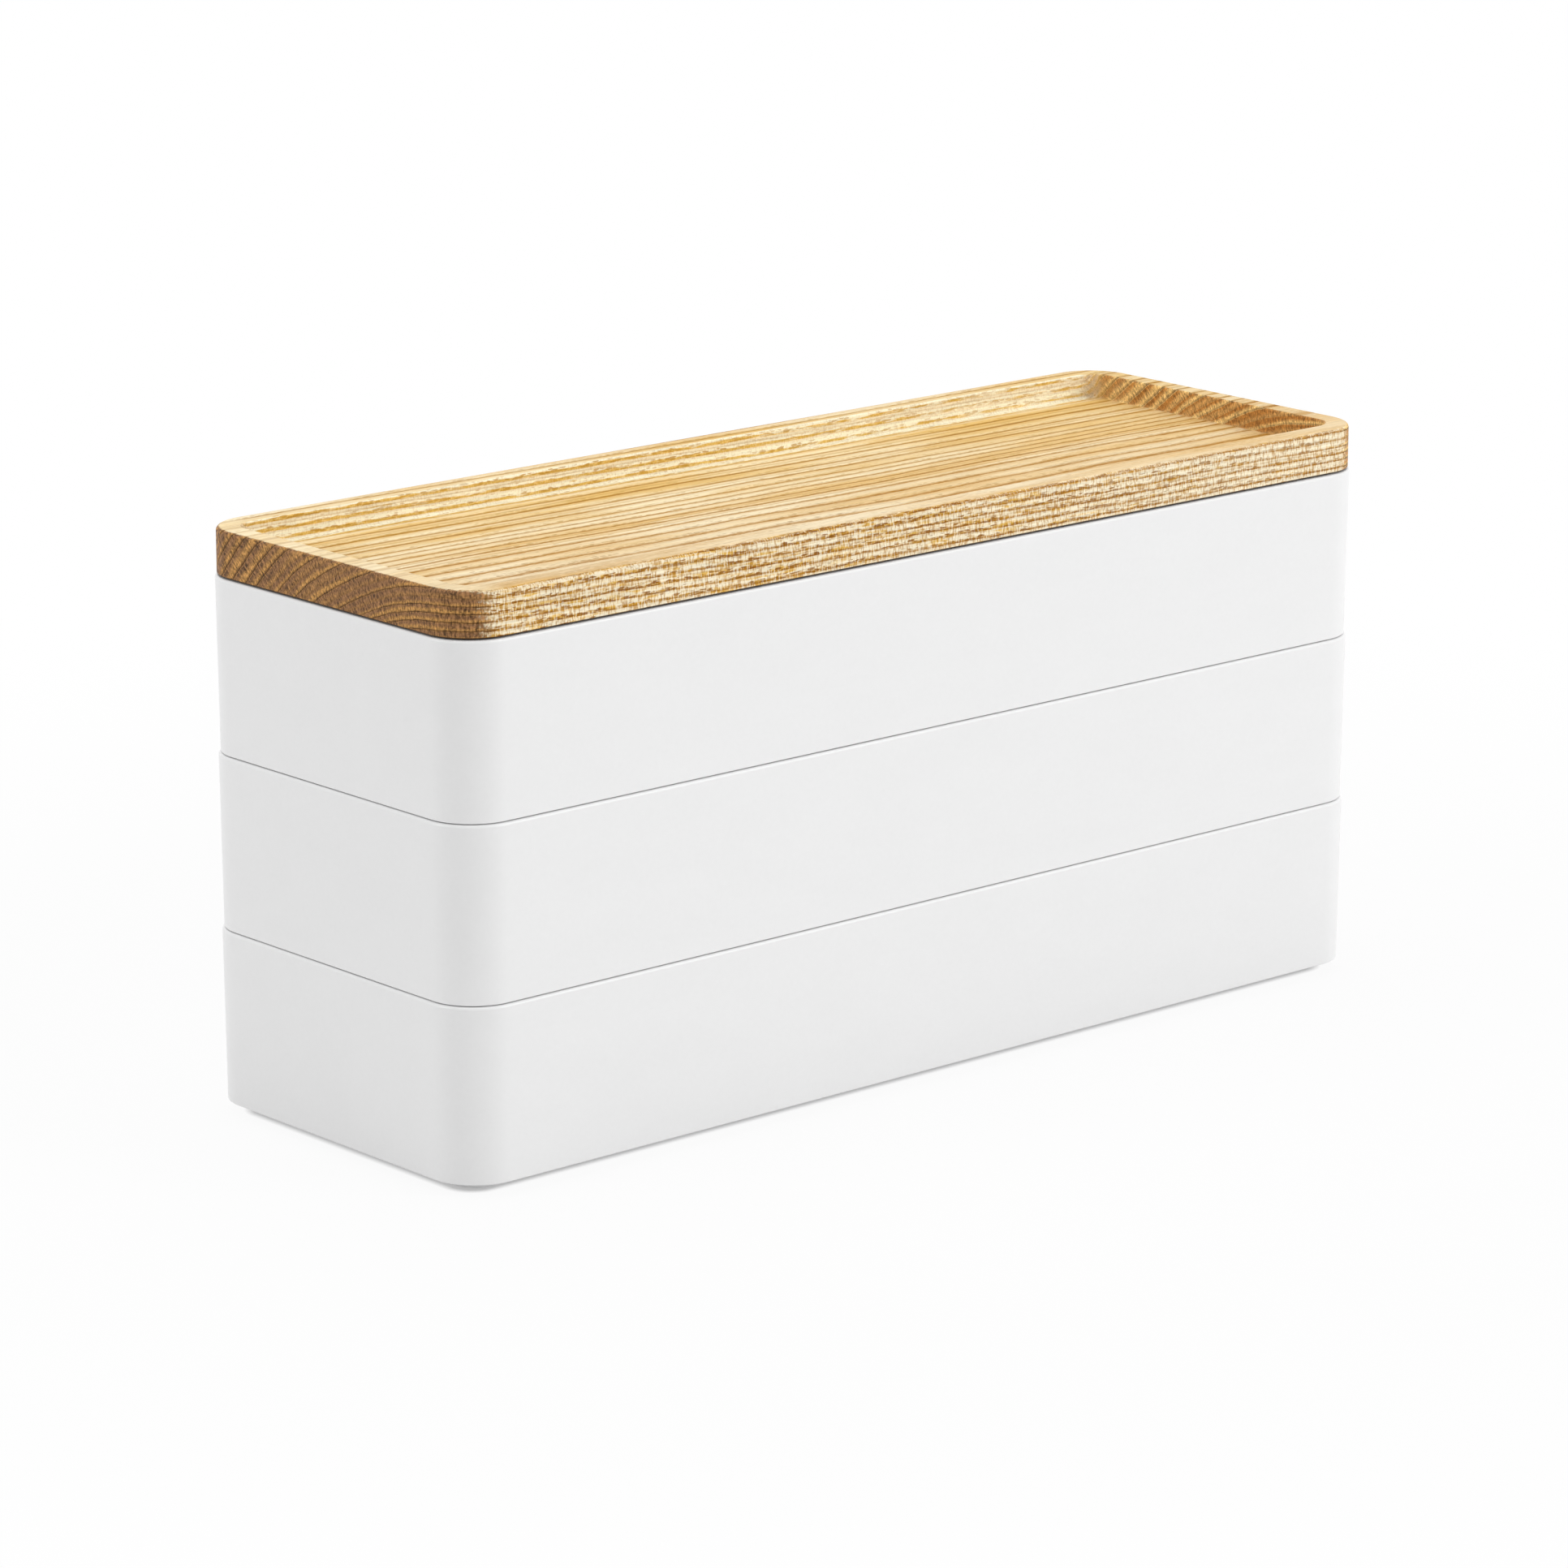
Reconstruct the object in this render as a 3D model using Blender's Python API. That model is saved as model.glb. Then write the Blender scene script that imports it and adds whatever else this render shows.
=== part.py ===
# Stackable accessory case: three white moulded trays, one on another, under a lid of solid ash.
# Metres, +Z up. The origin is on the surface the case stands on, under its centre.
# +X runs along the case, and -Y is its front.

import math

import bmesh
import bpy

MM = 0.001

# Outline of a tray at its rim
CASE_LENGTH = 240.0 * MM
CASE_DEPTH = 82.0 * MM
CORNER_RADIUS = 10.3 * MM

# Clearances
STACK_GAP = 0.3 * MM
FIT_GAP = 0.3 * MM
REGISTER_CLEARANCE = 0.8 * MM

# Moulded tray
TIER_PITCH = 35.0 * MM
SIDE_DRAFT = 0.4 * MM
WALL = 3.2 * MM
FLOOR_RISE = 0.6 * MM
PLINTH_DROP = 1.8 * MM
PLINTH_ROUND = 0.5 * MM
LOWER_ROUND = 0.35 * MM
RIM_ROUND = 0.6 * MM
MOUTH_ROUND = 0.8 * MM
FLOOR_FILLET = 2.5 * MM

# Rib pairs that hold the dividers
RIB_WIDTH = 1.6 * MM
RIB_REACH = 1.2 * MM
RIB_ROOT = 1.0 * MM
RIB_LEAD = 2.0 * MM
RIB_BELOW_DIVIDER = 1.0 * MM

# Dividers
DIVIDER_THICKNESS = 1.6 * MM
DIVIDER_HEADROOM = 6.0 * MM
DIVIDER_TOP_ROUND = 2.0 * MM
DIVIDER_CHAMFER = 0.3 * MM
SCOOP_WIDTH = 22.0 * MM
SCOOP_DEPTH = 5.0 * MM
WATCH_BAY = 148.0 * MM
RING_BAY = 92.0 * MM
GRID_COLUMNS = 4

# Felt liner
LINER_THICKNESS = 1.2 * MM

# Ring rolls
ROLL_COUNT = 5
ROLL_SPACE = 0.6 * MM
ROLL_SIDE_GAP = 1.6 * MM
ROLL_SEAT = 0.86
ROLL_END_ROUND = 3.0 * MM
ROLL_END_FACE = 0.62

# Silicone feet
FOOT_RADIUS = 5.0 * MM
FOOT_PROUD = 0.8 * MM
FOOT_POCKET = 0.8 * MM
FOOT_ROUND = 0.4 * MM
FOOT_MARGIN = 4.0 * MM

# Ash lid
LID_HEIGHT = 9.1 * MM
LID_INSET = 0.35 * MM
LID_SPIGOT = 2.4 * MM
LID_TOP_ROUND = 0.9 * MM
LID_LOWER_ROUND = 0.4 * MM
LID_RIM = 5.0 * MM
LID_RECESS = 5.1 * MM
LID_RECESS_DRAFT = 0.3 * MM
LID_INNER_ROUND = 0.5 * MM
LID_FLOOR_ROUND = 0.6 * MM

# Facets: steps of a quarter turn at a corner, of small, middle and large roundings, and of whole shapes
CORNER_STEPS = 10
SMALL_STEPS = 2
ROUND_STEPS = 3
FILLET_STEPS = 4
SCOOP_STEPS = 12
ROLL_STEPS = 14
TURN_STEPS = 24
SMOOTH_ANGLE = 35
CHAMFER_ANGLE = 60

# Finishes: linear colour and roughness
WHITE_ABS = ((0.86, 0.86, 0.855), 0.3)
ASH = ((0.70, 0.50, 0.27), 0.45)
GREY_FELT = ((0.33, 0.325, 0.315), 0.95)
GREY_VELOUR = ((0.42, 0.41, 0.40), 0.9)
SILICONE = ((0.62, 0.62, 0.61), 0.6)

# Sizes that follow from the ones above
WALL_HEIGHT = TIER_PITCH - STACK_GAP
SHOULDER = WALL_HEIGHT - RIM_ROUND
PLINTH_INSET = WALL + REGISTER_CLEARANCE
BASE_Z = FOOT_PROUD + PLINTH_DROP
LINER_TOP = FLOOR_RISE + FIT_GAP + LINER_THICKNESS
DIVIDER_LOW = LINER_TOP + FIT_GAP
DIVIDER_HIGH = TIER_PITCH - PLINTH_DROP - DIVIDER_HEADROOM
DIVIDER_MIDDLE = (DIVIDER_LOW + DIVIDER_HIGH) / 2
SLOT_WIDTH = DIVIDER_THICKNESS + 2 * FIT_GAP
INNER_HALF_LENGTH = CASE_LENGTH / 2 - WALL - SIDE_DRAFT


def clear_scene():
    for old in list(bpy.data.objects):
        bpy.data.objects.remove(old)


# How far the tray's outer face stands inside the case's outline at a height above the wall's foot.
def draft_at(z):
    return SIDE_DRAFT * (1 - z / SHOULDER)


# Points of a circular arc, as (first, second) pairs. Angles are in degrees.
def arc(centre, radius, start, end, steps):
    points = []
    for step in range(steps + 1):
        angle = math.radians(start + (end - start) * step / steps)
        points.append((centre[0] + radius * math.cos(angle), centre[1] + radius * math.sin(angle)))
    return points


# The case's outline moved inwards by inset: a rectangle with round corners, anticlockwise.
def case_outline(inset):
    half_x = CASE_LENGTH / 2 - inset
    half_y = CASE_DEPTH / 2 - inset
    radius = max(CORNER_RADIUS - inset, RIM_ROUND)
    points = []
    for quarter, (side_x, side_y) in enumerate(((1, 1), (-1, 1), (-1, -1), (1, -1))):
        centre = (side_x * (half_x - radius), side_y * (half_y - radius))
        points += arc(centre, radius, 90 * quarter, 90 * (quarter + 1), CORNER_STEPS)
    return points


# A closed body drawn through rings of points: its end face is extruded and set to the next ring.
def draw_through(rings):
    mesh = bmesh.new()
    end = mesh.faces.new([mesh.verts.new(point) for point in rings[0]])
    inner = []
    for ring in rings[1:]:
        grown = bmesh.ops.extrude_face_region(mesh, geom=[end], use_keep_orig=True)["geom"]
        inner.append(end)
        end = next(item for item in grown if isinstance(item, bmesh.types.BMFace))
        for vert, point in zip(end.verts, ring):
            vert.co = point
    bmesh.ops.delete(mesh, geom=inner[1:], context="FACES_ONLY")
    bmesh.ops.recalc_face_normals(mesh, faces=mesh.faces)
    return mesh


# A body whose level sections are case outlines. The profile is a list of (inset, height) pairs.
def case_body(profile):
    rings = []
    for inset, z in profile:
        rings.append([(x, y, z) for x, y in case_outline(inset)])
    return draw_through(rings)


def principled(name, finish):
    colour, roughness = finish
    material = bpy.data.materials.new(name)
    material.use_nodes = True
    shader = material.node_tree.nodes["Principled BSDF"]
    shader.inputs["Base Color"].default_value = (*colour, 1)
    shader.inputs["Roughness"].default_value = roughness
    shader.inputs["Metallic"].default_value = 0
    return material


# Turns a bmesh into a named object with its own material, hung on its tier's empty.
def add_piece(name, mesh, parent, location, finish):
    data = bpy.data.meshes.new(name)
    mesh.to_mesh(data)
    mesh.free()
    data.shade_smooth()
    data.set_sharp_from_angle(angle=math.radians(SMOOTH_ANGLE))
    data.materials.append(principled(name + "_material", finish))
    piece = bpy.data.objects.new(name, data)
    piece.parent = parent
    piece.location = location
    bpy.context.scene.collection.objects.link(piece)
    return piece


# A helper for a Boolean, seen only as wires and left out of renders.
def add_helper(name, mesh, parent):
    data = bpy.data.meshes.new(name)
    mesh.to_mesh(data)
    mesh.free()
    helper = bpy.data.objects.new(name, data)
    helper.parent = parent
    helper.hide_render = True
    helper.display_type = "WIRE"
    bpy.context.scene.collection.objects.link(helper)
    return helper


def add_boolean(piece, name, operation, helper):
    boolean = piece.modifiers.new(name, "BOOLEAN")
    boolean.operation = operation
    boolean.solver = "EXACT"
    boolean.object = helper


def add_empty(name, z):
    empty = bpy.data.objects.new(name, None)
    empty.location = (0, 0, z)
    bpy.context.scene.collection.objects.link(empty)
    return empty


# The register that drops into the mouth below a tray or the lid, from its underside up to height 0.
def register_profile(drop):
    centre = (PLINTH_INSET + PLINTH_ROUND, PLINTH_ROUND - drop)
    return arc(centre, PLINTH_ROUND, 270, 180, SMALL_STEPS) + [(PLINTH_INSET, 0)]


# Half of a tray's section, from the plinth's underside round the wall to the edge of the floor.
def tray_profile():
    profile = register_profile(PLINTH_DROP)
    foot = draft_at(LOWER_ROUND)
    profile += arc((foot + LOWER_ROUND, LOWER_ROUND), LOWER_ROUND, 270, 180, SMALL_STEPS)
    profile += arc((RIM_ROUND, SHOULDER), RIM_ROUND, 180, 90, ROUND_STEPS)
    lip = WALL_HEIGHT - MOUTH_ROUND
    profile += arc((WALL + draft_at(lip) - MOUTH_ROUND, lip), MOUTH_ROUND, 90, 0, ROUND_STEPS)
    fillet = FLOOR_RISE + FLOOR_FILLET
    profile += arc((WALL + draft_at(fillet) + FLOOR_FILLET, fillet), FLOOR_FILLET, 180, 270, FILLET_STEPS)
    return profile


# One rib: its side view, pushed through its width. It grows out of the wall, and its top slopes back into it.
# The wall stands at distance wall from the centre, on the side given by sign, along the axis given.
def add_rib(mesh, axis, wall, sign, station):
    low = FLOOR_RISE / 2
    high = DIVIDER_HIGH - RIB_BELOW_DIVIDER
    nose = wall - RIB_REACH
    root = wall + RIB_ROOT
    side = ((root, low), (nose, low), (nose, high - RIB_LEAD), (wall, high), (root, high))
    verts = []
    for along in (station - RIB_WIDTH / 2, station + RIB_WIDTH / 2):
        for out, z in side:
            place = (along, sign * out, z) if axis == "Y" else (sign * out, along, z)
            verts.append(mesh.verts.new(place))
    count = len(side)
    mesh.faces.new(verts[:count])
    mesh.faces.new(verts[count:][::-1])
    for i in range(count):
        j = (i + 1) % count
        mesh.faces.new((verts[i], verts[i + count], verts[j + count], verts[j]))


# The rib pairs of one tray: cross stations along X on both long walls, and long stations on both ends.
def rib_mesh(cross_stations, long_stations):
    mesh = bmesh.new()
    offset = SLOT_WIDTH / 2 + RIB_WIDTH / 2
    for sign in (-1, 1):
        for station in cross_stations:
            for shift in (-offset, offset):
                add_rib(mesh, "Y", CASE_DEPTH / 2 - WALL, sign, station + shift)
        for station in long_stations:
            for shift in (-offset, offset):
                add_rib(mesh, "X", CASE_LENGTH / 2 - WALL, sign, station + shift)
    bmesh.ops.recalc_face_normals(mesh, faces=mesh.faces)
    return mesh


def add_tray(name, tier, cross_stations, long_stations):
    shell = add_piece(name, case_body(tray_profile()), tier, (0, 0, 0), WHITE_ABS)
    ribs = add_helper(name + "_ribs", rib_mesh(cross_stations, long_stations), tier)
    add_boolean(shell, "divider ribs", "UNION", ribs)
    return shell


def add_liner(name, tier):
    inset = WALL + draft_at(FLOOR_RISE) + max(FLOOR_FILLET, RIB_REACH) + FIT_GAP
    low = FLOOR_RISE + FIT_GAP
    mesh = case_body([(inset, low), (inset, LINER_TOP)])
    return add_piece(name, mesh, tier, (0, 0, 0), GREY_FELT)


# Where a divider's end stands at a height, measured from the case's centre.
def divider_reach(half_size, z):
    return half_size - WALL - draft_at(z) - FIT_GAP


# A divider seen square on, anticlockwise, as (along, z) pairs. Its ends follow the tray's draft.
# A scoop is a finger dip in the top edge; slots go down from the top, notches go up from the foot.
def divider_outline(half_size, scoop, slots, notches):
    low_reach = divider_reach(half_size, DIVIDER_LOW)
    high_reach = divider_reach(half_size, DIVIDER_HIGH)
    foot = FLOOR_FILLET
    top = DIVIDER_TOP_ROUND
    points = arc((foot - low_reach, DIVIDER_LOW + foot), foot, 180, 270, ROUND_STEPS)
    for at in notches:
        left = at - SLOT_WIDTH / 2
        right = at + SLOT_WIDTH / 2
        height = DIVIDER_MIDDLE + FIT_GAP / 2
        points += [(left, DIVIDER_LOW), (left, height), (right, height), (right, DIVIDER_LOW)]
    points += arc((low_reach - foot, DIVIDER_LOW + foot), foot, 270, 360, ROUND_STEPS)
    points += arc((high_reach - top, DIVIDER_HIGH - top), top, 0, 90, ROUND_STEPS)
    for at in reversed(slots):
        left = at - SLOT_WIDTH / 2
        right = at + SLOT_WIDTH / 2
        depth = DIVIDER_MIDDLE - FIT_GAP / 2
        points += [(right, DIVIDER_HIGH), (right, depth), (left, depth), (left, DIVIDER_HIGH)]
    if scoop:
        for step in range(SCOOP_STEPS + 1):
            share = 1 - 2 * step / SCOOP_STEPS
            dip = SCOOP_DEPTH * (1 + math.cos(math.pi * share)) / 2
            points.append((share * SCOOP_WIDTH / 2, DIVIDER_HIGH - dip))
    points += arc((top - high_reach, DIVIDER_HIGH - top), top, 90, 180, ROUND_STEPS)
    return points


# A plate from an outline. A cross divider stands across the case at station x, a long one along it at y.
def add_divider(name, tier, across, station, scoop=False, slots=(), notches=()):
    half_size = CASE_DEPTH / 2 if across else CASE_LENGTH / 2
    outline = divider_outline(half_size, scoop, slots, notches)
    mesh = bmesh.new()
    half = DIVIDER_THICKNESS / 2
    if across:
        verts = [mesh.verts.new((-half, along, z)) for along, z in outline]
    else:
        verts = [mesh.verts.new((along, -half, z)) for along, z in outline]
    face = mesh.faces.new(verts)
    pushed = bmesh.ops.extrude_face_region(mesh, geom=[face])["geom"]
    moved = [item for item in pushed if isinstance(item, bmesh.types.BMVert)]
    way = (DIVIDER_THICKNESS, 0, 0) if across else (0, DIVIDER_THICKNESS, 0)
    bmesh.ops.translate(mesh, verts=moved, vec=way)
    bmesh.ops.recalc_face_normals(mesh, faces=mesh.faces)
    location = (station, 0, 0) if across else (0, station, 0)
    divider = add_piece(name, mesh, tier, location, WHITE_ABS)
    bevel = divider.modifiers.new("edge break", "BEVEL")
    bevel.width = DIVIDER_CHAMFER
    bevel.segments = 1
    bevel.limit_method = "ANGLE"
    bevel.angle_limit = math.radians(CHAMFER_ANGLE)
    return divider


# How far a round corner stands in from the end wall, beside a long wall that is side away.
def corner_setback(radius, side):
    if side >= radius:
        return 0
    return radius - math.sqrt(radius ** 2 - (radius - side) ** 2)


# One ring roll: a round foam bar with a flat seat, drawn in towards its ends.
def roll_mesh(length, radius):
    seat = radius * ROLL_SEAT
    seat_angle = math.degrees(math.acos(ROLL_SEAT))
    section = arc((0, seat), radius, seat_angle - 90, 270 - seat_angle, ROLL_STEPS)
    stations = []
    for step in range(ROUND_STEPS + 1):
        share = 1 - step / ROUND_STEPS
        width = ROLL_END_FACE + (1 - ROLL_END_FACE) * math.sqrt(1 - share ** 2)
        stations.append((ROLL_END_ROUND * (1 - share) - length / 2, width))
    stations += [(-x, width) for x, width in reversed(stations)]
    rings = []
    for x, width in stations:
        rings.append([(x, y * width, seat + (z - seat) * width) for y, z in section])
    return draw_through(rings)


# The ring rolls stand side by side on the liner, between the left end wall and the first divider.
def add_ring_rolls(tier, divider_x):
    low_z = DIVIDER_LOW
    half_bay = CASE_DEPTH / 2 - WALL - draft_at(low_z) - ROLL_SIDE_GAP
    pitch = (2 * half_bay + ROLL_SPACE) / ROLL_COUNT
    radius = (pitch - ROLL_SPACE) / 2
    corner = CORNER_RADIUS - WALL
    near_end = corner_setback(corner, ROLL_SIDE_GAP) + FIT_GAP
    rib_side = SLOT_WIDTH / 2 + RIB_WIDTH + FIT_GAP
    left = near_end - INNER_HALF_LENGTH
    right = divider_x - rib_side
    for index in range(ROLL_COUNT):
        y = (index - (ROLL_COUNT - 1) / 2) * pitch
        mesh = roll_mesh(right - left, radius)
        place = ((left + right) / 2, y, low_z)
        add_piece(f"ring_roll_{index + 1}", mesh, tier, place, GREY_VELOUR)


def foot_stations():
    inset = PLINTH_INSET + FOOT_MARGIN + FOOT_RADIUS
    x = CASE_LENGTH / 2 - inset
    y = CASE_DEPTH / 2 - inset
    return [(-x, -y), (x, -y), (x, y), (-x, y)]


# A turned body: the (radius, z) profile is spun about the Z axis at a place.
def turned(mesh, profile, place):
    verts = [mesh.verts.new((place[0] + r, place[1], z)) for r, z in profile]
    edges = [mesh.edges.new(pair) for pair in zip(verts, verts[1:])]
    bmesh.ops.spin(
        mesh,
        geom=verts + edges,
        cent=(place[0], place[1], 0),
        axis=(0, 0, 1),
        angle=2 * math.pi,
        steps=TURN_STEPS,
        use_merge=True,
    )
    bmesh.ops.remove_doubles(mesh, verts=mesh.verts, dist=0.001 * MM)
    bmesh.ops.recalc_face_normals(mesh, faces=mesh.faces)


# Pockets in the plinth of the bottom tier, and the silicone pad that stands in each.
def add_feet(shell, tier):
    ceiling = FOOT_POCKET - PLINTH_DROP
    radius = FOOT_RADIUS + FIT_GAP
    pockets = bmesh.new()
    below = -PLINTH_DROP - FOOT_PROUD
    for place in foot_stations():
        turned(pockets, [(0, ceiling), (radius, ceiling), (radius, below), (0, below)], place)
    cutter = add_helper("foot_pockets", pockets, tier)
    add_boolean(shell, "foot pockets", "DIFFERENCE", cutter)
    top = FOOT_POCKET - FIT_GAP
    rounding = arc((FOOT_RADIUS - FOOT_ROUND, FOOT_ROUND - FOOT_PROUD), FOOT_ROUND, 0, -90, SMALL_STEPS)
    for index, place in enumerate(foot_stations()):
        foot = bmesh.new()
        turned(foot, [(0, top), (FOOT_RADIUS, top)] + rounding + [(0, -FOOT_PROUD)], (0, 0))
        location = (place[0], place[1], -PLINTH_DROP)
        add_piece(f"foot_{index + 1}", foot, tier, location, SILICONE)


# Half of the lid's section, from the spigot's underside round the rim to the edge of the recess's floor.
def lid_profile():
    profile = register_profile(LID_SPIGOT)
    centre = (LID_INSET + LID_LOWER_ROUND, LID_LOWER_ROUND)
    profile += arc(centre, LID_LOWER_ROUND, 270, 180, SMALL_STEPS)
    centre = (LID_INSET + LID_TOP_ROUND, LID_HEIGHT - LID_TOP_ROUND)
    profile += arc(centre, LID_TOP_ROUND, 180, 90, FILLET_STEPS)
    inner = LID_INSET + LID_RIM
    centre = (inner - LID_INNER_ROUND, LID_HEIGHT - LID_INNER_ROUND)
    profile += arc(centre, LID_INNER_ROUND, 90, 0, ROUND_STEPS)
    floor = LID_HEIGHT - LID_RECESS
    centre = (inner + LID_RECESS_DRAFT + LID_FLOOR_ROUND, floor + LID_FLOOR_ROUND)
    profile += arc(centre, LID_FLOOR_ROUND, 180, 270, ROUND_STEPS)
    return profile


# Bottom tier: one wide bay for watches, one narrow one
def build_bottom_tier():
    tier = add_empty("bottom_tier", BASE_Z)
    divider_x = WATCH_BAY - INNER_HALF_LENGTH
    shell = add_tray("bottom_tier_shell", tier, [divider_x], [])
    add_liner("bottom_tier_liner", tier)
    add_divider("bottom_tier_divider", tier, True, divider_x, scoop=True)
    add_feet(shell, tier)


# Middle tier: a grid of small compartments. The cross dividers drop onto the long one with halved joints.
def build_middle_tier():
    tier = add_empty("middle_tier", BASE_Z + TIER_PITCH)
    column = 2 * INNER_HALF_LENGTH / GRID_COLUMNS
    stations = [column * (index + 1) - INNER_HALF_LENGTH for index in range(GRID_COLUMNS - 1)]
    add_tray("middle_tier_shell", tier, stations, [0])
    add_liner("middle_tier_liner", tier)
    add_divider("middle_tier_long_divider", tier, False, 0, slots=stations)
    for index, station in enumerate(stations):
        add_divider(f"middle_tier_cross_divider_{index + 1}", tier, True, station, notches=[0])


# Top tier: a bay of ring rolls and two open bays
def build_top_tier():
    tier = add_empty("top_tier", BASE_Z + 2 * TIER_PITCH)
    first = RING_BAY - INNER_HALF_LENGTH
    second = (first + INNER_HALF_LENGTH) / 2
    add_tray("top_tier_shell", tier, [first, second], [])
    add_liner("top_tier_liner", tier)
    add_ring_rolls(tier, first)
    add_divider("top_tier_divider_1", tier, True, first, scoop=True)
    add_divider("top_tier_divider_2", tier, True, second, scoop=True)


def build_lid():
    lid = add_empty("lid", BASE_Z + 3 * TIER_PITCH)
    add_piece("lid_tray", case_body(lid_profile()), lid, (0, 0, 0), ASH)


clear_scene()
build_bottom_tier()
build_middle_tier()
build_top_tier()
build_lid()
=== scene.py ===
import functools
import math

import bmesh
import bpy
import numpy as np
from mathutils import Matrix, Vector
from mathutils.geometry import tessellate_polygon


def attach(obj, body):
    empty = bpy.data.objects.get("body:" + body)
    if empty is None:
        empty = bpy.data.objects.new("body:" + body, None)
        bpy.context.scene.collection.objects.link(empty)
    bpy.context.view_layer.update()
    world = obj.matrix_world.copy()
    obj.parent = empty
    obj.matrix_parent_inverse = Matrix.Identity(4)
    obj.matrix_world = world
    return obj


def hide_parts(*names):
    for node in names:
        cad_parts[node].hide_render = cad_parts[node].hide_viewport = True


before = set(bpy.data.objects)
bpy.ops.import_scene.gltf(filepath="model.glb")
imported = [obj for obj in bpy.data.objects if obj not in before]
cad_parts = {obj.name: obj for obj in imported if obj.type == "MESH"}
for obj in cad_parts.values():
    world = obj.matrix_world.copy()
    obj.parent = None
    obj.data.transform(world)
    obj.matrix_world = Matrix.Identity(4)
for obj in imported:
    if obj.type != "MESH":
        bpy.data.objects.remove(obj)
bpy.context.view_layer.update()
metre = 0.001  # one millimetre in metres
tiny = 1e-6  # what counts as nothing
print("frame loaded:", len(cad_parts), "nodes")

for old in ("Cube", "Light", "Camera"):
    if old in bpy.data.objects:
        bpy.data.objects.remove(bpy.data.objects[old])


# sRGB hex to a linear colour with full alpha, by the sRGB curve: a short straight line, then a power of 2.4
def linear(hexColour):
    value = np.array([int(hexColour[i:i + 2], 16) for i in (1, 3, 5)]) / 255
    value = np.where(value <= 0.04045, value / 12.92, ((value + 0.055) / 1.055) ** 2.4)
    return (*value.tolist(), 1.0)


# Fills a node's sockets: those in use in their order, and others by name.
# A value is set, an output is linked, and a node stands for its first output in use.
def fill(node, inOrder, byName):
    inUse = [socket for socket in node.inputs if socket.enabled]
    for socket, value in [*zip(inUse, inOrder), *((node.inputs[name], byName[name]) for name in byName)]:
        if isinstance(value, bpy.types.Node):
            value = next(output for output in value.outputs if output.enabled)
        if isinstance(value, bpy.types.NodeSocket):
            node.id_data.links.new(value, socket)
        else:
            socket.default_value = value


# the setting that the second word of a node's kind gives, as in "Math ADD"
modes = {"Math": "operation", "VectorMath": "operation", "Mix": "data_type", "MapRange": "interpolation_type",
         "TexNoise": "noise_dimensions", "TexWhiteNoise": "noise_dimensions"}


# Adds one node, sets its mode and fills its sockets
def addNode(tree, kind, *inOrder, **byName):
    kind, *mode = kind.split()
    node = tree.nodes.new("ShaderNode" + kind)
    if mode:
        setattr(node, modes[kind], mode[0])
    fill(node, inOrder, byName)
    return node


# A material, what adds its nodes, and the piece's own coordinates in millimetres
def newMaterial(name):
    material = bpy.data.materials.new(name)
    material.use_nodes = True
    add = functools.partial(addNode, material.node_tree)
    return material, add, add("VectorMath MULTIPLY", add("TexCoord").outputs["Object"], (1 / metre,) * 3)


# Gives a material's shader its colour, its roughness, its fixed values, and a relief that rises with the
# height, by a strength and a depth
def dress(material, finish, colour, roughness, height):
    strength, depth = finish["relief"]
    relief = addNode(material.node_tree, "Bump", strength, depth * metre, Height=height)
    fill(material.node_tree.nodes["Principled BSDF"], (), {
        "Base Color": colour, "Roughness": roughness, "Normal": relief, **finish["shader"]})
    return material


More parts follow.
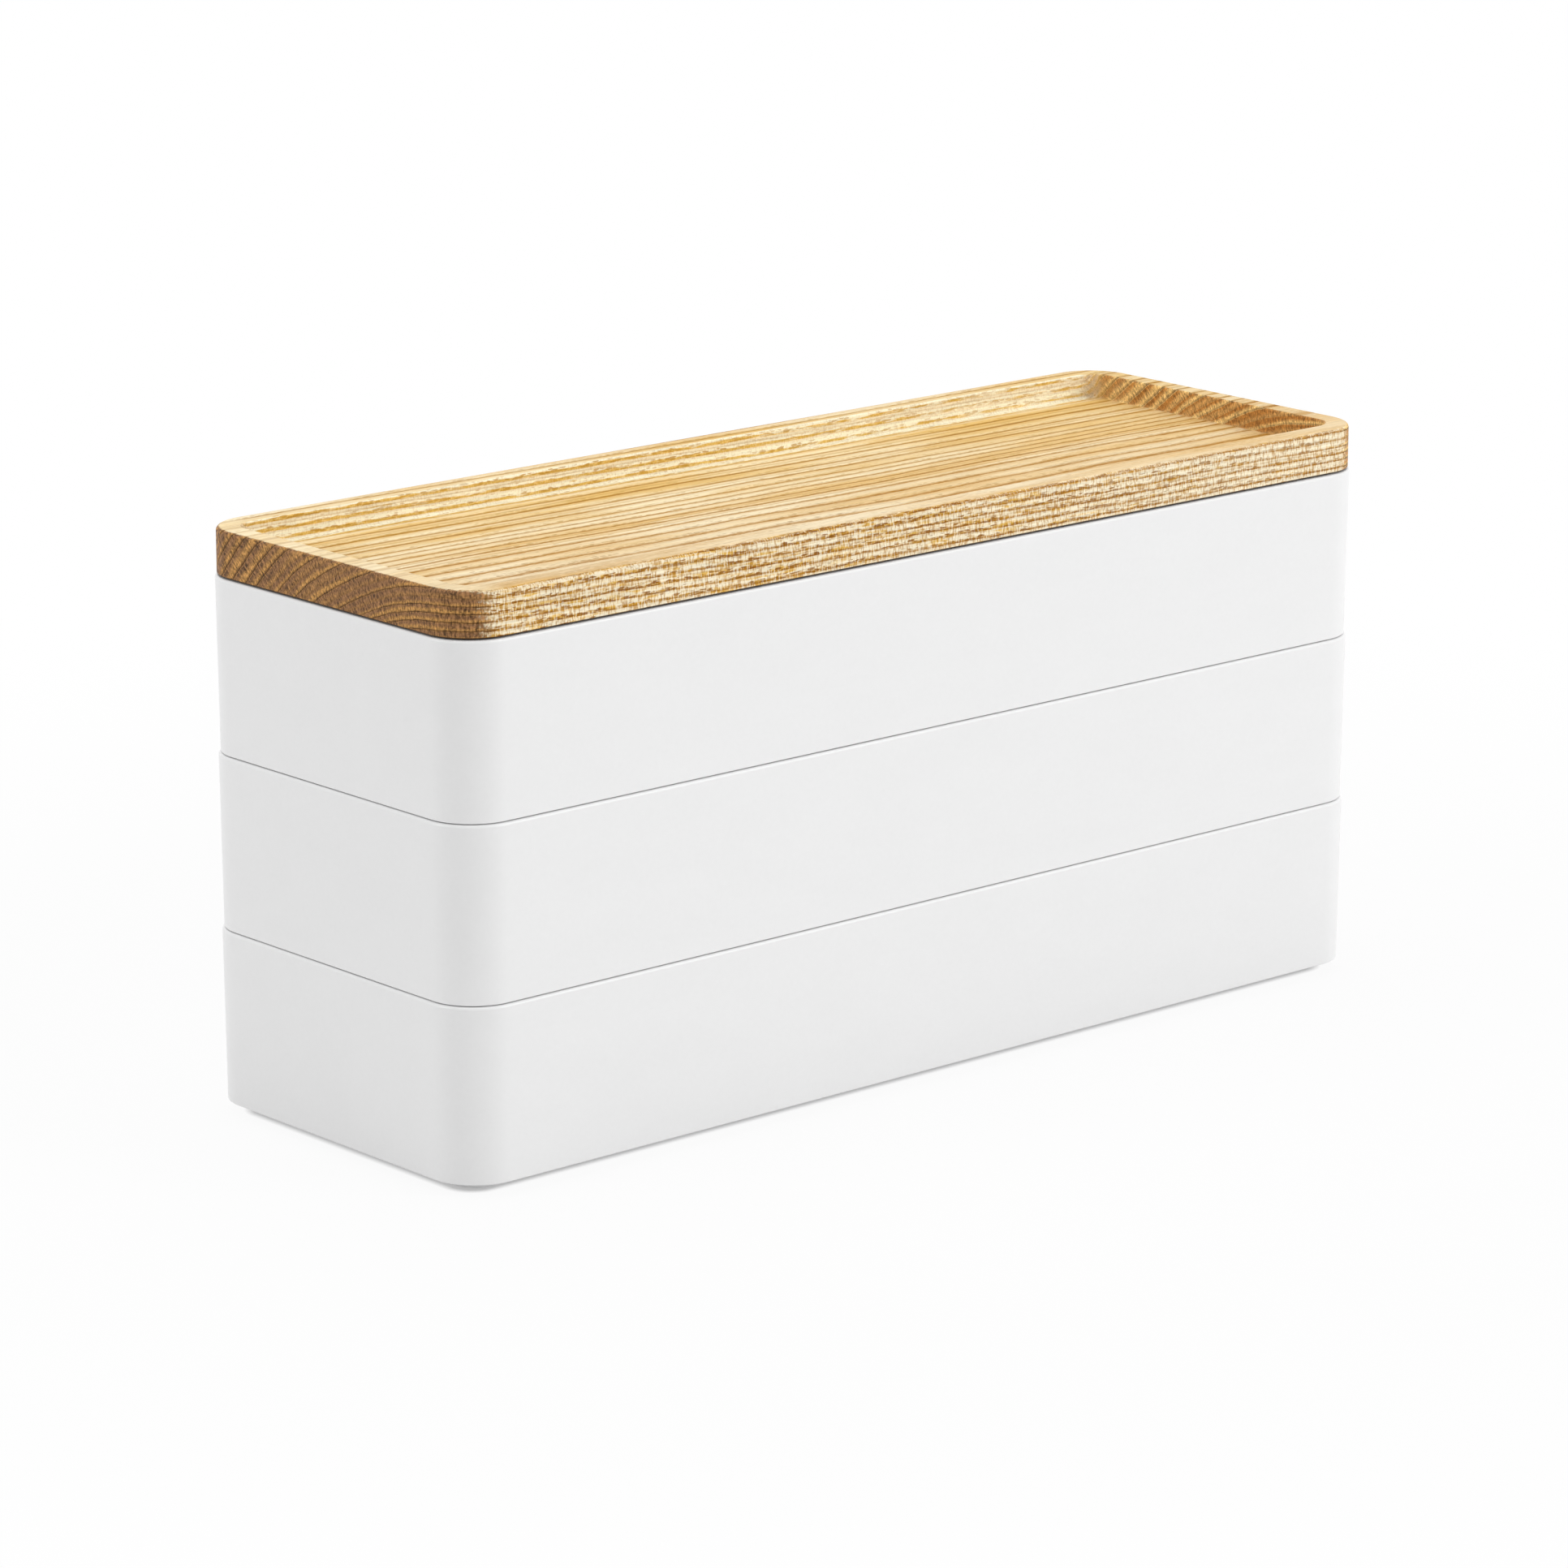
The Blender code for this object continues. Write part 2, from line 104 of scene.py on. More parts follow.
# Solid ash, planed and rubbed with a clear satin oil.
# The board is cut beside the heart of the log, so one set of growth rings round an axis along X gives every
# face its own figure: rows of pores on the front, thin lines on the floor, slanting arcs on the ends.
# Each ring starts with a row of open pores, which drink oil and go brown; cut across, the fibres go dark.
# A place in a ring runs from 0 at these pores to 1. Four numbers are a range and what its two ends become, and
# two are a range, or what holds at the two ends that the note names.
ashFinish = {
    # growth rings
    "heart": (0.0, -38.0, 47.6),  # a point on their axis
    "ringWidth": 1.8,
    "uneven": (9.0, 0.7),  # distance over which ring widths change, and by how many rings
    "closer": (56.0, 66.0, 0.0, 1.34),  # distances from the heart, and rings gained between them
    "wider": (82.0, 104.0, 0.0, -4.4),  # the same, and rings lost
    "upWall": (111.6, 116.7, 0.0, 1.7),  # heights in the recess, and rings gained up its back wall
    "wallStart": (33.0, 35.0),  # y of that wall
    # length along the fibres, width across them, shift
    "wander": [(120.0, 46.0, 1.5), (30.0, 8.0, 0.28), (9.0, 1.6, 0.16), (2.6, 0.7, 0.12)],
    "meanRadius": 75.0,  # turns angles round the heart into lengths

    # sizes of the patterns by x, y and z, and of the last two along the fibres, out from the heart and round it
    "fibre": (11.0, 0.3, 0.3),
    "streak": (55.0, 7.0, 7.0),
    "fleck": (5.5, 0.6, 0.6),
    "porePatch": (13.0, 2.4, 2.4),
    "latePore": (1.5, 0.34, 0.34),
    "pore": (1.7, 0.38, 0.38),  # real ones are 0.3 mm wide, too fine to show
    "ray": (0.34, 1.5, 0.3),
    "sandPerMm": 2.1,
    "goldPerMm": 0.06,

    # parts of the board
    "side": (0.3, 0.85),  # how squarely a surface faces the front or the back
    "wallFoot": (31.5, 34.0),  # y over which the recess's floor turns up into its back wall
    "belowWall": (113.0, 112.5),  # z under which it does
    "behindRim": (36.5, 39.0, 1.0, 0.3),  # y at which the tones of the back give way outside the recess
    "frontToBack": (6.0, 74.0),  # y from the heart
    "backWall": (60.0, 68.0),  # y from the heart at which a side is the recess's back wall
    "toRight": (0.0, 80.0),  # x over which pores get fewer and weaker
    "leftToRight": (-100.0, 110.0),  # x over which the tones of the ends change
    "recessEnds": (115.0, 114.0),  # x from the middle, within which an end is the recess's own
    "recessSides": 36.3,  # the same for y
    "backCorner": (20.0, 34.0, 0.0, 0.6),  # y over which the recess's ends turn into its back wall
    "rimTop": (115.9, 116.5),  # z of the rim's rounded edge and top, where a highlight is painted
    "leftRim": (-108.0, -113.0, 0.0, 0.5),  # x over which it gets paler, a painted highlight
    "sealed": (107.83, 107.73),  # z under which the wood is painted dark, a painted shade for the gap over the top tray

    # the brown band that a ring starts with, by the place in the ring
    "start": (0.0, 0.06),
    "bandEnd": 0.12,
    "bandGone": (0.38, 0.48),  # on flat faces and on sides
    "bandByRing": (0.75, 1.0),  # strength in the faintest and in the clearest ring
    "bandAlong": (0.4, 0.6, 1.1, 0.88),  # strength over the streaks
    "bandOnWall": (1.0, 0.12),  # strength elsewhere and on the recess's back wall
    "grazing": (0.0, 0.3, 0.3, 1.0),  # strength where a flat face runs along a ring and where it cuts it
    "pause": (0.68, 0.1),  # place and half width of a fainter line, where growth paused
    "pauseStrength": 0.3,
    "paused": 0.55,  # tone over which a ring has this line

    # pores
    "drop": (0.42, 0.66, 1.0, 0.0),  # distance from the middle of a pore
    "rowEnd": (0.05, 0.6),  # how far into the ring the pores of a row go
    "rowFade": 0.1,
    "patch": (0.34, 0.56, 0.35, 1.0),  # their strength in patches
    "stain": (0.5, 0.95, 0.8, 0.0),  # oil round a pore
    "stainToBack": (20.0, 60.0, 1.0, 0.2),  # y from the heart
    "stainToRight": (1.0, 0.55),  # strength on the left and on the right
    "poresToRight": (1.0, 0.66),  # the same, for pores and for pale streaks
    "dot": (0.2, 0.45, 0.55, 0.0),  # small pores in the rest of the ring
    "dotShare": 0.22,  # of the places for one that have it
    "poreDepth": (0.55, 0.78),  # on flat faces and on sides

    # light and dark between the pores
    "darkRay": (0.5, 0.34),
    "lightRay": (0.5, 0.66),
    "tick": (0.6, 0.2),  # strength of the rays at the front and at the back
    "paleStreak": (0.38, 0.62),
    "paleFleck": (0.38, 0.56),
    "creamFrom": (0.3, 0.26),  # where a ring gets paler, at the front and at the back
    "creamOver": 0.2,
    "creamStrength": (0.12, 0.36),  # the same
    "creamToRight": 0.135,
    "late": (0.7, 1.0, 0.0, 0.4),  # darker end of the ring
    "glazeShare": 0.5,  # of the oil that a band takes up
    "fibreTone": (0.3, 0.7, 0.88, 1.1),

    # end grain
    "goldEnd": (0.4, 0.85, 0.1, 0.55),  # how far into the ring its golden part goes
    "goldByRing": 0.25,
    "goldFade": 0.5,
    "line": (0.1, 0.3, 0.95, 0.0),  # the dark line of the pores
    "lineInRecess": (1.0, 0.2),  # strength elsewhere and at the recess's right end
    "faint": (84.0, 81.0, 0.0, 0.65),  # distance from the heart up to which every second ring is fainter
    "faintFrom": 67.0,
    "sandTone": (0.32, 0.68, 0.66, 1.4),
    "hatch": 0.46,
    "sandInRecess": (1.0, 0.45),  # strength elsewhere and at the recess's right end
    "plainTone": 1.03,  # without sand and hatching
    "jag": (0.3, 0.7, -0.12, 0.12),  # raggedness of the change from long grain
    "jagByRing": -0.12,
    "endGrain": (0.1, 0.44),  # how squarely a surface faces the ends

    # tones at the front and at the back, at the left end and at the right end, and the same everywhere
    "tonesToBack": {
        "flatWarm": ("#E4C28A", "#E2BC70"),
        "flatLight": ("#F0DDB8", "#F6E5BC"),
        "sideWarm": ("#ECBE5A", "#E8C268"),
        "sideLight": ("#FDF0D0", "#FFFBE0"),
        "pore": ("#844C04", "#C09034"),
        "band": ("#AC7210", "#A47014"),
    },
    "tonesToRight": {"endDark": ("#8C6542", "#B27C3E"), "endGold": ("#BA8A4E", "#E9C480")},
    "tones": {
        "late": "#CC9A46",
        "glaze": "#EEC050",
        "darkRay": "#B67C1E",
        "lightRay": "#FFF3D8",
        "endLine": "#583A20",
        # a painted highlight on the left rim's top
        "rim": "#F8E6BE",
        "underside": "#5A3E24",  # painted shade of the gap under the lid
    },

    "roughness": (0.5, 0.75),  # of the wood and of its pores
    "relief": (0.35, 0.08),
    "shader": {"IOR": 1.5, "Specular IOR Level": 0.15},
}


# Its distance from the heart gives each point its place in a growth ring, and that place, with noise along the
# fibres, gives each layer of colour a share by which it is mixed over the layers before it
def makeAsh(finish):
    material, add, inMm = newMaterial("solid ash, satin oil")
    place = add("SeparateXYZ", inMm).outputs

    # wander of the rings: noise stretched along the fibres moves each point up and sideways
    moved = inMm
    for along, across, shift in finish["wander"]:
        cells = add("VectorMath DIVIDE", inMm, (along, across, across))
        noise = add("TexNoise", cells, 1.0, 2.0).outputs["Color"]
        centred = add("VectorMath SUBTRACT", noise, (0.5, 0.5, 0.5))
        moved = add("VectorMath MULTIPLY_ADD", centred, (0.0, 2 * shift, 2 * shift), moved)
    parts = add("SeparateXYZ", add("VectorMath SUBTRACT", moved, finish["heart"])).outputs
    radius = add("VectorMath LENGTH", add("CombineXYZ", 0.0, parts["Y"], parts["Z"]))
    angle = add("Math ARCTAN2", parts["Y"], parts["Z"])
    roundHeart = add("Math MULTIPLY", angle, finish["meanRadius"])
    laid = add("CombineXYZ", parts["X"], radius, roundHeart)

    # how far a point is through each range of places, or of distances from the heart
    zone = {}
    for source, names in ((place["X"], ("toRight", "leftToRight", "leftRim")),
                          (place["Y"], ("wallStart", "wallFoot", "behindRim", "backCorner")),
                          (place["Z"], ("upWall", "belowWall", "rimTop", "sealed")),
                          (parts["Y"], ("frontToBack", "backWall", "stainToBack")),
                          (radius, ("closer", "wider", "faint"))):
        for name in names:
            zone[name] = add("MapRange", source, *finish[name])

    # how many rings lie inside a point, its place in its own ring, and a tone for each ring
    over, byRings = finish["uneven"]
    uneven = add("TexNoise 1D", add("Math DIVIDE", radius, over), 1.0, 1.0)
    count = add("Math DIVIDE", radius, finish["ringWidth"])
    for more, times in ((zone["closer"], 1.0), (zone["wider"], 1.0), (uneven, byRings),
                        (zone["upWall"], zone["wallStart"])):
        count = add("Math MULTIPLY_ADD", more, times, count)
    within = add("Math FRACT", count)
    number = add("Math FLOOR", count)
    ringTone = add("TexWhiteNoise 1D", number)

    # which way the surface cuts the wood; the foot of the recess's back wall counts as a side
    facing = add("SeparateXYZ", add("NewGeometry").outputs["Normal"]).outputs
    side = add("MapRange SMOOTHSTEP", add("Math ABSOLUTE", facing["Y"]), *finish["side"])
    side = add("Math MAXIMUM", side, add("Math MULTIPLY", zone["wallFoot"], zone["belowWall"]))
    crossing = add("MapRange", add("Math DIVIDE", parts["Y"], radius), *finish["grazing"])
    crossing = add("Math MAXIMUM", crossing, side)
    back = add("Math MULTIPLY", zone["frontToBack"], zone["behindRim"])
    backWall = zone["backWall"]
    for share in (side, zone["behindRim"]):
        backWall = add("Math MULTIPLY", backWall, share)

    # inside the recess
    inside = add("MapRange", add("Math ABSOLUTE", place["X"]), *finish["recessEnds"])
    inRim = add("Math LESS_THAN", add("Math ABSOLUTE", place["Y"]), finish["recessSides"])
    inside = add("Math MULTIPLY", inside, inRim)
    backCorner = add("Math MULTIPLY", zone["backCorner"], inside)
    insideRight = add("Math MULTIPLY", inside, add("Math GREATER_THAN", place["X"], 0.0))

    # noise stretched along the fibres
    noise = {}
    for name, source, detail in (("fibre", moved, 2.0), ("streak", inMm, 4.0), ("fleck", moved, 2.0),
                                 ("porePatch", moved, 1.0)):
        noise[name] = add("TexNoise", add("VectorMath DIVIDE", source, finish[name]), 1.0, detail)

    # what follows from the places and the noise
    amount = {}
    for source, names in ((zone["toRight"], ("stainToRight", "poresToRight")),
                          (back, ("tick", "creamFrom", "creamStrength")), (side, ("bandGone", "poreDepth")),
                          (insideRight, ("lineInRecess", "sandInRecess")), (ringTone, ("bandByRing",)),
                          (backWall, ("bandOnWall",))):
        for name in names:
            amount[name] = add("MapRange", source, 0.0, 1.0, *finish[name])
    for source, names in ((noise["streak"], ("bandAlong", "paleStreak")), (noise["porePatch"], ("patch",)),
                          (noise["fibre"], ("fibreTone",)), (within, ("late", "line"))):
        for name in names:
            amount[name] = add("MapRange", source, *finish[name])

    # the brown band that each ring starts with, and a fainter line in the middle of some rings
    start = add("MapRange SMOOTHSTEP", within, *finish["start"])
    band = add("MapRange SMOOTHSTEP", within, finish["bandEnd"], amount["bandGone"], 1.0, 0.0)
    for share in (start, amount["bandByRing"], amount["bandAlong"], crossing, amount["bandOnWall"]):
        band = add("Math MULTIPLY", band, share)
    pause = add("Math MULTIPLY", add("Math COMPARE", within, *finish["pause"]), finish["pauseStrength"])
    pause = add("Math MULTIPLY", pause, add("Math GREATER_THAN", ringTone, finish["paused"]))
    band = add("Math MAXIMUM", band, pause)

    # pores: drops in cells laid along, out and round, kept near the start of the ring, with oil round them
    drops = add("TexVoronoi", add("VectorMath DIVIDE", laid, finish["pore"]), 1.0).outputs
    drop = add("MapRange SMOOTHSTEP", drops["Distance"], *finish["drop"])
    rowEnd = add("MapRange", add("SeparateXYZ", drops["Color"]), 0.0, 1.0, *finish["rowEnd"])
    row = add("MapRange", within, rowEnd, add("Math ADD", rowEnd, finish["rowFade"]), 1.0, 0.0)
    row = add("Math MULTIPLY", start, row)
    pores = row
    for share in (drop, amount["patch"]):
        pores = add("Math MULTIPLY", pores, share)
    stain = add("MapRange", drops["Distance"], *finish["stain"])
    for share in (row, zone["stainToBack"], side, amount["stainToRight"]):
        stain = add("Math MULTIPLY", stain, share)
    band = add("Math MAXIMUM", band, stain)

    # a few small pores in the rest of the ring
    dots = add("TexVoronoi", add("VectorMath DIVIDE", moved, finish["latePore"]), 1.0).outputs
    kept = add("Math LESS_THAN", add("SeparateXYZ", dots["Color"]), finish["dotShare"])
    latePores = add("Math MULTIPLY", add("MapRange", dots["Distance"], *finish["dot"]), kept)
    pores = add("Math MAXIMUM", pores, latePores)

    # rays: thin plates that run out from the heart, seen as short ticks on the sides and hatching on the ends
    rays = add("TexNoise", add("VectorMath DIVIDE", laid, finish["ray"]), 1.0, 1.0)
    darkRay, lightRay = (add("MapRange", rays, *finish[name]) for name in ("darkRay", "lightRay"))
    tick = add("Math MULTIPLY", side, amount["tick"])
    darkTick, lightTick = (add("Math MULTIPLY", ray, tick) for ray in (darkRay, lightRay))

    # tones, mixed from front to back or from left to right
    leftToRight = add("Math MAXIMUM", zone["leftToRight"], insideRight)
    tone = {name: linear(colour) for name, colour in finish["tones"].items()}
    for share, group in ((back, "tonesToBack"), (leftToRight, "tonesToRight")):
        for name, colours in finish[group].items():
            tone[name] = add("Mix RGBA", share, *map(linear, colours))

    # where the fibres lie in the surface: pale streaks on flat faces, and on sides flecks that get paler
    # through the ring and towards the right, under late wood, oil, bands, rays and pores
    pale = add("Math MULTIPLY", amount["paleStreak"], amount["poresToRight"])
    flatWood = add("Mix RGBA", pale, tone["flatWarm"], tone["flatLight"])
    creamTo = add("Math ADD", amount["creamFrom"], finish["creamOver"])
    cream = add("MapRange SMOOTHSTEP", within, amount["creamFrom"], creamTo, -0.5, 0.5)
    flecks = add("Math MULTIPLY_ADD", cream, amount["creamStrength"], noise["fleck"])
    flecks = add("Math MULTIPLY_ADD", zone["toRight"], finish["creamToRight"], flecks)
    pale = add("MapRange", flecks, *finish["paleFleck"])
    sideWood = add("Mix RGBA", pale, tone["sideWarm"], tone["sideLight"])
    wood = add("Mix RGBA", side, flatWood, sideWood)
    glaze = add("Math MULTIPLY", band, finish["glazeShare"])
    depth = amount["poreDepth"]
    for share in (crossing, amount["poresToRight"], pores):
        depth = add("Math MULTIPLY", depth, share)
    for share, name in ((amount["late"], "late"), (glaze, "glaze"), (band, "band"), (darkTick, "darkRay"),
                        (lightTick, "lightRay"), (depth, "pore")):
        wood = add("Mix RGBA", share, wood, tone[name])

    # a painted highlight: the top of the left rim is paler
    paintedRimHighlight = add("Math MULTIPLY", zone["rimTop"], zone["leftRim"])
    wood = add("Mix RGBA", paintedRimHighlight, wood, tone["rim"])

    # where the surface cuts the fibres: a dark line, then gold, then dark. Every second ring near the middle of
    # the ends is fainter.
    section = add("CombineXYZ", parts["Y"], parts["Z"])
    goldNoise = add("TexNoise 2D", section, finish["goldPerMm"], 1.0)
    goldEnd = add("Math MULTIPLY_ADD", ringTone, finish["goldByRing"], goldNoise)
    goldEnd = add("MapRange", goldEnd, *finish["goldEnd"])
    gold = add("MapRange SMOOTHSTEP", within, goldEnd, add("Math ADD", goldEnd, finish["goldFade"]), 1.0, 0.0)
    faint = add("Math FLOORED_MODULO", number, 2.0)
    for share in (zone["faint"], add("Math GREATER_THAN", radius, finish["faintFrom"])):
        faint = add("Math MULTIPLY", faint, share)
    clear = add("Math SUBTRACT", 1.0, faint)
    line = amount["line"]
    for share in (start, clear, amount["lineInRecess"]):
        line = add("Math MULTIPLY", line, share)
    ends = add("Mix RGBA", add("Math MULTIPLY", gold, clear), tone["endDark"], tone["endGold"])
    ends = add("Mix RGBA", add("Math MAXIMUM", latePores, line), ends, tone["endLine"])

    # sand and hatching over it, weaker inside the recess
    sand = add("TexNoise", inMm, finish["sandPerMm"], 2.0)
    hatch = add("Math SUBTRACT", lightRay, darkRay)
    endTone = add("Math MULTIPLY_ADD", hatch, finish["hatch"], add("MapRange", sand, *finish["sandTone"]))
    endTone = add("Mix FLOAT", amount["sandInRecess"], finish["plainTone"], endTone)
    ends = add("VectorMath SCALE", ends, endTone)

    # the change from one to the other follows the fibres, and is held back in the recess's back corners
    jag = add("Math MULTIPLY_ADD", within, finish["jagByRing"], add("MapRange", sand, *finish["jag"]))
    onEnd = add("Math ADD", add("Math ABSOLUTE", facing["X"]), jag)
    endShare = add("MapRange SMOOTHSTEP", onEnd, *finish["endGrain"])
    endShare = add("Math MULTIPLY", endShare, add("Math SUBTRACT", 1.0, backCorner))
    wood = add("Mix RGBA", endShare, wood, ends)
    wood = add("VectorMath SCALE", wood, amount["fibreTone"])
    # painted shade: the lid's underside and spigot are darkened, so that the gap over the top tray reads dark
    wood = add("Mix RGBA", zone["sealed"], wood, tone["underside"])

    # open pores are rougher, and lie deeper than the fibres
    rough = add("MapRange", pores, 0.0, 1.0, *finish["roughness"])
    return dress(material, finish, wood, rough, add("Math SUBTRACT", noise["fibre"], pores))


# White ABS, injection moulded in a finely etched steel mould: one even cool white with a soft gloss. Up close
# the etch shows as a fine grain, with the faintest mottle in the white where the melt flowed.
absFinish = {
    "whites": ("#F3F3F3", "#F0F0F0"),
    "flow": (22.0, 8.0, 8.0),  # length of a flow mark along the case, and its widths
    "mottle": (0.9, 0.012),  # cell, and how much the white changes over it
    "etch": 0.4,
    "roughness": (0.28, 0.36),
    "relief": (0.25, 0.004),
    "shader": {"IOR": 1.54},
}


# The colour lies between two whites by the flow's noise, times one plus or minus the mottle
def makeAbs(finish):
    material, add, inMm = newMaterial("white ABS, moulded satin gloss")
    flow = add("TexNoise", add("VectorMath DIVIDE", inMm, finish["flow"]), 1.0, 3.0)
    white = add("Mix RGBA", flow, *map(linear, finish["whites"]))
    cell, change = finish["mottle"]
    mottle = add("MapRange", add("TexNoise", inMm, 1 / cell, 1.0), 0.0, 1.0, 1 - change, 1 + change)
    gloss = add("MapRange", flow, 0.0, 1.0, *finish["roughness"])
    etch = add("TexNoise", inMm, 1 / finish["etch"], 1.0)
    return dress(material, finish, add("VectorMath SCALE", white, mottle), gloss, etch)


# Pressed wool felt: short fibres matted every way, light and dark grey ones mixed, with a soft fuzzy face
feltFinish = {
    "fibres": ("#84827E", "#B5B3AF"),
    "fibre": 0.9,  # drawn coarser than wool, which is too fine to show
    "tangle": {"Detail": 3.0, "Roughness": 0.6, "Distortion": 1.6},
    "mat": 7.0,
    "matShare": 0.35,
    "mix": (0.5, 0.85),
    "roughness": 0.95,
    "relief": (0.6, 0.15),
    "shader": {"IOR": 1.5, "Sheen Weight": 0.25, "Sheen Roughness": 0.5},
}


# The colour lies between two greys by the noise of the fibres plus a share of the mat's coarser one
def makeFelt(finish):
    material, add, inMm = newMaterial("pressed wool felt, grey")
    hairs = add("TexNoise", inMm, 1 / finish["fibre"], **finish["tangle"])
    both = add("Math MULTIPLY_ADD", add("TexNoise", inMm, 1 / finish["mat"], 3.0), finish["matShare"], hairs)
    grey = add("Mix RGBA", add("MapRange", both, *finish["mix"]), *map(linear, finish["fibres"]))
    return dress(material, finish, grey, finish["roughness"], both)


# Short-pile velour over foam: the pile lies in soft strokes that turn light and dark, and its tips catch light
velourFinish = {
    "lying": ("#94928E", "#B6B4B0"),  # away and towards
    "pile": 0.6,  # drawn coarser than the pile's 0.2 mm
    "stroke": (18.0, 6.0, 6.0),
    "strokeShare": 0.5,
    "mix": (0.5, 1.0),
    "roughness": 0.85,
    "relief": (0.45, 0.12),
    "shader": {"IOR": 1.5, "Sheen Weight": 0.5, "Sheen Roughness": 0.35},
}


# The colour lies between two greys by the noise of the pile plus a share of the strokes' longer one
def makeVelour(finish):
    material, add, inMm = newMaterial("short-pile velour, grey")
    pile = add("TexNoise", inMm, 1 / finish["pile"], 2.0)
    strokes = add("TexNoise", add("VectorMath DIVIDE", inMm, finish["stroke"]), 1.0, 2.0)
    both = add("Math MULTIPLY_ADD", strokes, finish["strokeShare"], pile)
    grey = add("Mix RGBA", add("MapRange", both, *finish["mix"]), *map(linear, finish["lying"]))
    return dress(material, finish, grey, finish["roughness"], pile)


# Cast silicone: milky, matt and a little cloudy, so light sinks into its edge
siliconeFinish = {
    "milk": ("#D2D2D0", "#C6C6C4"),
    "cloud": 2.5,
    "roughness": 0.55,
    "relief": (0.2, 0.03),
    "shader": {"IOR": 1.41},
}


# The colour lies between two greys by the noise of the clouds
def makeSilicone(finish):
    material, add, inMm = newMaterial("cast silicone, milky grey")
    clouds = add("TexNoise", inMm, 1 / finish["cloud"], 2.0)
    grey = add("Mix RGBA", clouds, *map(linear, finish["milk"]))
    return dress(material, finish, grey, finish["roughness"], clouds)


materials = {
    "ash": makeAsh(ashFinish),
    "white_abs": makeAbs(absFinish),
    "grey_felt": makeFelt(feltFinish),
    "grey_velour": makeVelour(velourFinish),
    "silicone": makeSilicone(siliconeFinish),
}
print("materials made:", ", ".join(m.name for m in materials.values()))


# Points of a circular arc: the centre plus the radius times the cosine and sine of even angles, in degrees
def arc(centre, radius, start, end, steps):
    angle = np.radians(np.linspace(start, end, steps + 1))
    return np.stack([centre[0] + radius * np.cos(angle), centre[1] + radius * np.sin(angle)], axis=1)


# Joins the parts of a profile and puts a point close to each end of its long straights, so that flat faces
# shade flat
def supported(parts, close=0.12, long=0.5):
    profile = np.concatenate(parts)
    step = np.diff(profile, axis=0)
    length = np.linalg.norm(step, axis=1)
    near = step * (close / np.maximum(length, long))[:, None]
    points = np.stack([profile[:-1], profile[:-1] + near, profile[1:] - near], axis=1)
    keep = np.stack([length > tiny, length > long, length > long], axis=1)
    return np.concatenate([points[keep], profile[-1:]])


# Joins points that lie on each other
def weld(mesh, reach=0.0005):
    work = bmesh.new()
    work.from_mesh(mesh)
    bmesh.ops.remove_doubles(work, verts=work.verts, dist=reach * metre)
    work.to_mesh(mesh)
    work.free()


# Puts an object into the scene
def addObject(name, data):
    made = bpy.data.objects.new(name, data)
    bpy.context.scene.collection.objects.link(made)
    return made


# Makes a piece from rings of points, shaped (rings, stations, 3): quads join each ring to the next and the last
# station to the first, and flat faces close the two end rings. Extra faces come with their own points.
def addPiece(name, rings, body, slot, closeStart=True, extras=(), sharpAngle=40):
    count, stations = rings.shape[:2]
    index = np.arange(count * stations).reshape(count, stations)
    after = np.roll(index, -1, axis=1)
    faces = np.stack([index[:-1], after[:-1], after[1:], index[1:]], axis=-1).reshape(-1, 4).tolist()
    faces.append(index[-1].tolist())
    if closeStart:
        faces.append(index[0, ::-1].tolist())
    points = rings.reshape(-1, 3)
    for extraPoints, extraFaces in extras:
        faces += [[corner + len(points) for corner in face] for face in extraFaces]
        points = np.concatenate([points, extraPoints])
    mesh = bpy.data.meshes.new(name)
    mesh.from_pydata((points * metre).tolist(), [], faces)
    if extras:
        weld(mesh)
    mesh.materials.append(materials[slot])
    mesh.shade_smooth()
    mesh.set_sharp_from_angle(angle=math.radians(sharpAngle))
    piece = addObject(name, mesh)
    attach(piece, body)
    return piece


# The outline that trays, liners and lid share, and how the tiers stack
caseShape = {
    "length": 240.0,
    "depth": 82.0,
    "cornerRadius": 10.3,
    "cornerSteps": 24,
    "sideSpacing": 8.0,  # between the even points along a side
    "markClear": 1.0,  # how far they keep from points that a rib needs
    "firstTier": 2.6,  # height of the lowest wall's foot
    "tierPitch": 35.0,
    "fitGap": 0.3,
}
tiers = ("bottom_tier", "middle_tier", "top_tier")


# Height of the foot of a tier's wall: the lowest one's, and a pitch for each tier below
def tierFoot(body):
    return caseShape["firstTier"] + tiers.index(body) * caseShape["tierPitch"]


# Outline points at the rim with their outward directions, anticlockwise from the right side's back corner:
# even angles round each corner, then the stations of the next side. Marks give places that need points.
def caseOutline(shape, marksX=(), marksY=()):
    halfX, halfY, radius = shape["length"] / 2, shape["depth"] / 2, shape["cornerRadius"]
    flatX, flatY = halfX - radius, halfY - radius
    sides = []
    for flat, marks in ((flatX, marksX), (flatY, marksY)):
        even = np.linspace(-flat, flat, int(2 * flat / shape["sideSpacing"]) + 2)[1:-1]
        clear = (np.abs(even[:, None] - np.asarray(marks)) > shape["markClear"]).all(axis=1)
        sides.append(np.sort(np.concatenate([even[clear], marks])))
    points, normals = [], []
    for quarter, (signX, signY) in enumerate(((1, 1), (-1, 1), (-1, -1), (1, -1))):
        turn = arc((0, 0), 1, 90 * quarter, 90 * (quarter + 1), shape["cornerSteps"])
        alongX = quarter % 2 == 0
        side = sides[quarter % 2] if quarter > 1 else sides[quarter % 2][::-1]
        level = np.full_like(side, signY * halfY if alongX else signX * halfX)
        points += [np.array([signX * flatX, signY * flatY]) + radius * turn,
                   np.stack([side, level] if alongX else [level, side], axis=1)]
        normals += [turn, np.tile([0.0, signY] if alongX else [signX, 0.0], (len(side), 1))]
    return np.concatenate(points), np.concatenate(normals)


